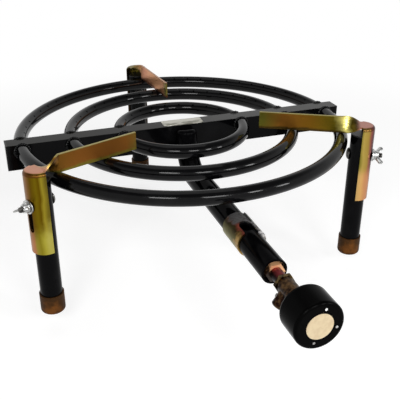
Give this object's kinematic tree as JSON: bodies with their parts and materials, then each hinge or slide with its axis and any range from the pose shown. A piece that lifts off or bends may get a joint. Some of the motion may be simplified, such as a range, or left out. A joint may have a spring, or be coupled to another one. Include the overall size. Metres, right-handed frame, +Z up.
{
  "type": "outdoor gas burner",
  "caption": "Tripod gas burner with concentric rings on a manifold bar, a mixer tube with air shutter and valve knob, and legs clamped by wing nuts to set the height.",
  "frame": {"origin": "on the floor, below the middle of the burner's length from the knob to the rear wing nut", "axes": "+Z up, -Y to the front along the gas line to the knob, +X to the right as seen from the front"},
  "size_m": [0.4306, 0.6, 0.1791],
  "materials": {
    "black_enamel": "gloss black enamel on steel tube",
    "yellow_zinc": "yellow passivated zinc plate on steel strip",
    "brass": "machined brass",
    "bright_zinc": "bright zinc plate",
    "foot_rubber": "dark reddish brown moulded rubber",
    "knob_plastic": "gloss black moulded plastic",
    "plug_plastic": "matt black moulded plastic",
    "cream_disc": "satin cream gold"
  },
  "bodies": {
    "burner": {"manifold_bar": "black_enamel", "bar_end_caps": "black_enamel", "outer_ring_front": "black_enamel", "outer_ring_rear": "black_enamel", "middle_ring_front": "black_enamel", "middle_ring_rear": "black_enamel", "inner_ring_front": "black_enamel", "inner_ring_rear": "black_enamel", "riser": "black_enamel", "mixer_tube": "black_enamel", "mixer_end_cap": "black_enamel", "injector_holder": "brass", "injector_jet": "brass", "neck": "brass", "valve_body": "brass", "inlet_nipple": "brass", "gland_nut": "brass", "left_bracket": "yellow_zinc", "right_bracket": "yellow_zinc", "rear_bracket": "yellow_zinc"},
    "air_shutter": {"air_shutter": "yellow_zinc", "shutter_screw": "brass"},
    "knob": {"valve_spindle": "brass", "control_knob": "knob_plastic", "knob_disc": "cream_disc"},
    "left_leg": {"left_leg": "black_enamel", "left_leg_plug": "plug_plastic", "left_foot": "foot_rubber", "left_bolt": "bright_zinc", "left_washer": "bright_zinc"},
    "left_wing": {"left_wing_nut": "bright_zinc"},
    "right_leg": {"right_leg": "black_enamel", "right_leg_plug": "plug_plastic", "right_foot": "foot_rubber", "right_bolt": "bright_zinc", "right_washer": "bright_zinc"},
    "right_wing": {"right_wing_nut": "bright_zinc"},
    "rear_leg": {"rear_leg": "black_enamel", "rear_leg_plug": "plug_plastic", "rear_foot": "foot_rubber", "rear_bolt": "bright_zinc", "rear_washer": "bright_zinc"},
    "rear_wing": {"rear_wing_nut": "bright_zinc"}
  },
  "joints": [
    {"name": "knob_turn", "type": "hinge", "parent": "burner", "child": "knob", "pos_m": [0, -0.29957, 0.10875], "axis": [0, -1, 0], "range_deg": [0, 180]},
    {"name": "shutter_turn", "type": "hinge", "parent": "burner", "child": "air_shutter", "pos_m": [0, -0.14058, 0.10875], "axis": [0, -1, 0], "range_deg": [0, 90]},
    {"name": "left_leg_slide", "type": "slide", "parent": "burner", "child": "left_leg", "axis": [0, 0, 1], "range_m": [-0.026, 0]},
    {"name": "left_wing_turn", "type": "hinge", "parent": "left_leg", "child": "left_wing", "pos_m": [-0.20053, -0.05835, 0.1333], "axis": [-0.866, -0.5, 0], "range_deg": [0, 360]},
    {"name": "right_leg_slide", "type": "slide", "parent": "burner", "child": "right_leg", "axis": [0, 0, 1], "range_m": [-0.026, 0]},
    {"name": "right_wing_turn", "type": "hinge", "parent": "right_leg", "child": "right_wing", "pos_m": [0.20053, -0.05835, 0.1333], "axis": [0.866, -0.5, 0], "range_deg": [0, 360]},
    {"name": "rear_leg_slide", "type": "slide", "parent": "burner", "child": "rear_leg", "axis": [0, 0, 1], "range_m": [-0.026, 0]},
    {"name": "rear_wing_turn", "type": "hinge", "parent": "rear_leg", "child": "rear_wing", "pos_m": [0, 0.28897, 0.1333], "axis": [0, 1, 0], "range_deg": [0, 360]}
  ]
}
